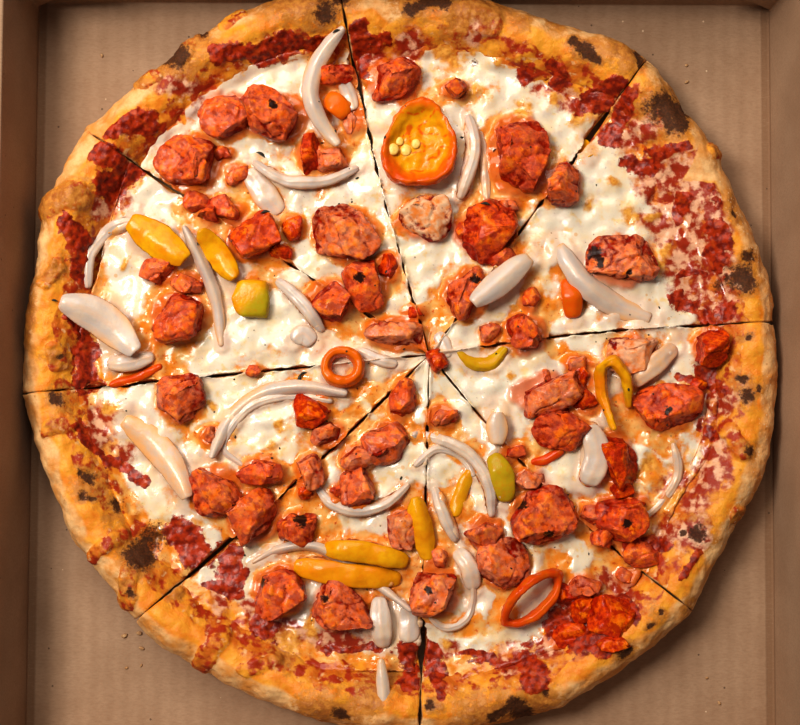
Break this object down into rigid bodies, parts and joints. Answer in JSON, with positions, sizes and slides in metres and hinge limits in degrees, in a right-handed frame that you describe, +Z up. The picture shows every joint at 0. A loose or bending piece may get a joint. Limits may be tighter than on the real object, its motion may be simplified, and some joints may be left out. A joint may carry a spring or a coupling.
{
  "type": "pizza in its box",
  "caption": "Round pizza with chicken, onion and sweet pepper, cut into slices, in a square corrugated cardboard box whose hinged lid lies open",
  "frame": {"origin": "middle of the underside of the tray, on the surface it rests on", "axes": "+X to the right in the picture, +Y towards the hinge side, which is the top of the picture, +Z up"},
  "size_m": [0.3154, 0.6284, 0.0625],
  "materials": {
    "cardboard": "matt brown kraft board, unprinted",
    "crust": "baked dough, golden with charred spots",
    "cheese": "melted cheese over tomato sauce, oily",
    "chicken": "spiced orange-red chicken, rough and moist",
    "onion": "softened white onion, translucent",
    "pepper": "cooked sweet pepper, yellow to orange, wet"
  },
  "bodies": {
    "tray": {"tray": "cardboard", "dough_1": "crust", "dough_2": "crust", "dough_3": "crust", "dough_4": "crust", "dough_5": "crust", "dough_6": "crust", "dough_7": "crust", "dough_8": "crust", "cheese_1": "cheese", "cheese_2": "cheese", "cheese_3": "cheese", "cheese_4": "cheese", "cheese_5": "cheese", "cheese_6": "cheese", "cheese_7": "cheese", "cheese_8": "cheese", "chicken_01": "chicken", "chicken_02": "chicken", "chicken_03": "chicken", "chicken_04": "chicken", "chicken_05": "chicken", "chicken_06": "chicken", "chicken_07": "chicken", "chicken_08": "chicken", "chicken_09": "chicken", "chicken_10": "chicken", "chicken_11": "chicken", "chicken_12": "chicken", "chicken_13": "chicken", "chicken_14": "chicken", "chicken_15": "chicken", "chicken_16": "chicken", "chicken_17": "chicken", "chicken_18": "chicken", "chicken_19": "chicken", "chicken_20": "chicken", "chicken_21": "chicken", "chicken_22": "chicken", "chicken_23": "chicken", "chicken_24": "chicken", "onion_01": "onion", "onion_02": "onion", "onion_03": "onion", "onion_04": "onion", "onion_05": "onion", "onion_06": "onion", "onion_07": "onion", "onion_08": "onion", "onion_09": "onion", "onion_10": "onion", "pepper_01": "pepper", "pepper_02": "pepper", "pepper_03": "pepper", "pepper_04": "pepper", "pepper_05": "pepper", "pepper_ring_1": "pepper", "pepper_ring_2": "pepper", "pepper_cup": "pepper"},
    "lid": {"lid": "cardboard"}
  },
  "joints": [
    {"name": "lid_hinge", "type": "hinge", "parent": "tray", "child": "lid", "pos_m": [0, 0.1577, 0.04515], "axis": [1, 0, 0], "range_deg": [0, 187.5]}
  ]
}
